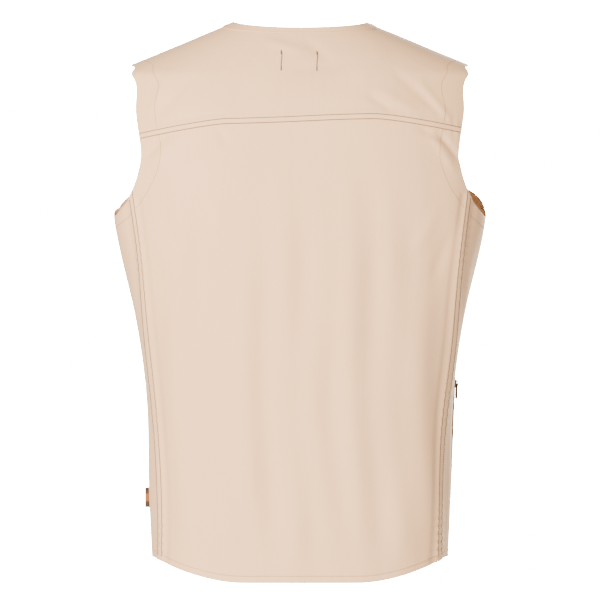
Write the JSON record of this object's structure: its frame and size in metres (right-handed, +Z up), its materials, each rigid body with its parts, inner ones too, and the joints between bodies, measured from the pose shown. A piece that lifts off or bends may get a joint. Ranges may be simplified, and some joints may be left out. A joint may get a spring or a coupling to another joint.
{
  "type": "fishing vest",
  "caption": "Sleeveless V-neck utility vest with a yoke back, curved hem, front zip, flap pockets with snaps, zipped hand pockets and hanging rings.",
  "frame": {"origin": "under the middle of the vest, on the plane that the lowest point of the hem touches", "axes": "+Z runs up to the neck, the vest faces -Y with its back to +Y, and +X is the wearer's left hand"},
  "size_m": [0.4774, 0.2677, 0.7181],
  "materials": {
    "poplin": "pale sand poly-cotton poplin, smooth with a slight sheen",
    "mesh_lining": "tan warp-knitted mesh",
    "tape": "brown-grey woven polyester tape",
    "coil": "dark brown-grey polyester coil",
    "dark_metal": "dark bronze enamel on zinc alloy and wire",
    "woven_tag": "dark brown woven tag with a tan middle and no lettering",
    "fleece": "off-white sheep's fleece"
  },
  "bodies": {
    "vest": {"back_panel": "poplin", "back_yoke": "poplin", "back_side_left": "poplin", "back_side_right": "poplin", "front_left": "poplin", "front_right": "poplin", "armhole_facing_left": "poplin", "armhole_facing_right": "poplin", "hem_facing_back": "poplin", "hem_facing_front_left": "poplin", "hem_facing_front_right": "poplin", "neck_band": "poplin", "storm_flap": "poplin", "lining_back": "mesh_lining", "lining_yoke": "poplin", "lining_front_left": "mesh_lining", "lining_front_right": "mesh_lining", "neck_label": "woven_tag", "side_tag": "woven_tag", "hanger_loop": "tape", "zip_tape_left": "tape", "zip_tape_right": "tape", "zip_coil_left": "coil", "zip_coil_right": "coil", "zip_box": "dark_metal", "zip_pin": "dark_metal", "pocket_left": "poplin", "pocket_stud_left": "dark_metal", "pocket_right": "poplin", "pocket_stud_right": "dark_metal", "chest_pocket_left": "poplin", "chest_pocket_stud_left": "dark_metal", "chest_pocket_right": "poplin", "chest_pocket_stud_right": "dark_metal", "side_zip_left": "tape", "side_zip_right": "tape", "ring_tab_left": "tape", "ring_tab_right": "tape", "fly_patch": "fleece"},
    "main_slider": {"zip_slider": "dark_metal"},
    "main_pull": {"zip_pull": "dark_metal"},
    "pocket_flap_left": {"pocket_flap_left": "poplin", "pocket_cap_left": "dark_metal"},
    "pocket_flap_right": {"pocket_flap_right": "poplin", "pocket_cap_right": "dark_metal"},
    "chest_pocket_flap_left": {"chest_pocket_flap_left": "poplin", "chest_pocket_cap_left": "dark_metal"},
    "chest_pocket_flap_right": {"chest_pocket_flap_right": "poplin", "chest_pocket_cap_right": "dark_metal"},
    "side_slider_left": {"side_slider_left": "dark_metal"},
    "side_pull_left": {"side_pull_left": "dark_metal"},
    "side_slider_right": {"side_slider_right": "dark_metal"},
    "side_pull_right": {"side_pull_right": "dark_metal"},
    "d_ring_left": {"d_ring_left": "dark_metal"},
    "d_ring_right": {"d_ring_right": "dark_metal"}
  },
  "joints": [
    {"name": "main_zip", "type": "slide", "parent": "vest", "child": "main_slider", "axis": [0, -0.028, 0.9996], "range_m": [-0.44, 0]},
    {"name": "main_pull_swing", "type": "hinge", "parent": "main_slider", "child": "main_pull", "pos_m": [0, -0.11512, 0.48288], "axis": [-1, 0, 0], "range_deg": [0, 165]},
    {"name": "pocket_flap_left_hinge", "type": "hinge", "parent": "vest", "child": "pocket_flap_left", "pos_m": [0.10154, -0.09365, 0.272], "axis": [-0.9629, -0.27, 0], "range_deg": [0, 110]},
    {"name": "pocket_flap_right_hinge", "type": "hinge", "parent": "vest", "child": "pocket_flap_right", "pos_m": [-0.10154, -0.09365, 0.272], "axis": [-0.9629, 0.27, 0], "range_deg": [0, 110]},
    {"name": "chest_pocket_flap_left_hinge", "type": "hinge", "parent": "vest", "child": "chest_pocket_flap_left", "pos_m": [0.10189, -0.09956, 0.456], "axis": [-0.9759, -0.218, 0], "range_deg": [0, 110]},
    {"name": "chest_pocket_flap_right_hinge", "type": "hinge", "parent": "vest", "child": "chest_pocket_flap_right", "pos_m": [-0.10189, -0.09956, 0.456], "axis": [-0.9759, 0.218, 0], "range_deg": [0, 110]},
    {"name": "side_zip_left_slide", "type": "slide", "parent": "vest", "child": "side_slider_left", "axis": [0.0371, -0.0138, 0.9992], "range_m": [-0.139, 0]},
    {"name": "side_pull_left_swing", "type": "hinge", "parent": "side_slider_left", "child": "side_pull_left", "pos_m": [0.19449, -0.04811, 0.25247], "axis": [-0.552, -0.8338, 0.0089], "range_deg": [0, 165]},
    {"name": "side_zip_right_slide", "type": "slide", "parent": "vest", "child": "side_slider_right", "axis": [-0.0382, -0.011, 0.9992], "range_m": [-0.139, 0]},
    {"name": "side_pull_right_swing", "type": "hinge", "parent": "side_slider_right", "child": "side_pull_right", "pos_m": [-0.20144, -0.03412, 0.25242], "axis": [-0.3369, 0.9415, -0.0025], "range_deg": [0, 165]},
    {"name": "d_ring_left_swing", "type": "hinge", "parent": "vest", "child": "d_ring_left", "pos_m": [0.11319, -0.10056, 0.512], "axis": [-0.9782, -0.2078, 0], "range_deg": [0, 110]},
    {"name": "d_ring_right_swing", "type": "hinge", "parent": "vest", "child": "d_ring_right", "pos_m": [-0.11319, -0.10056, 0.512], "axis": [-0.9782, 0.2078, 0], "range_deg": [0, 110]}
  ]
}
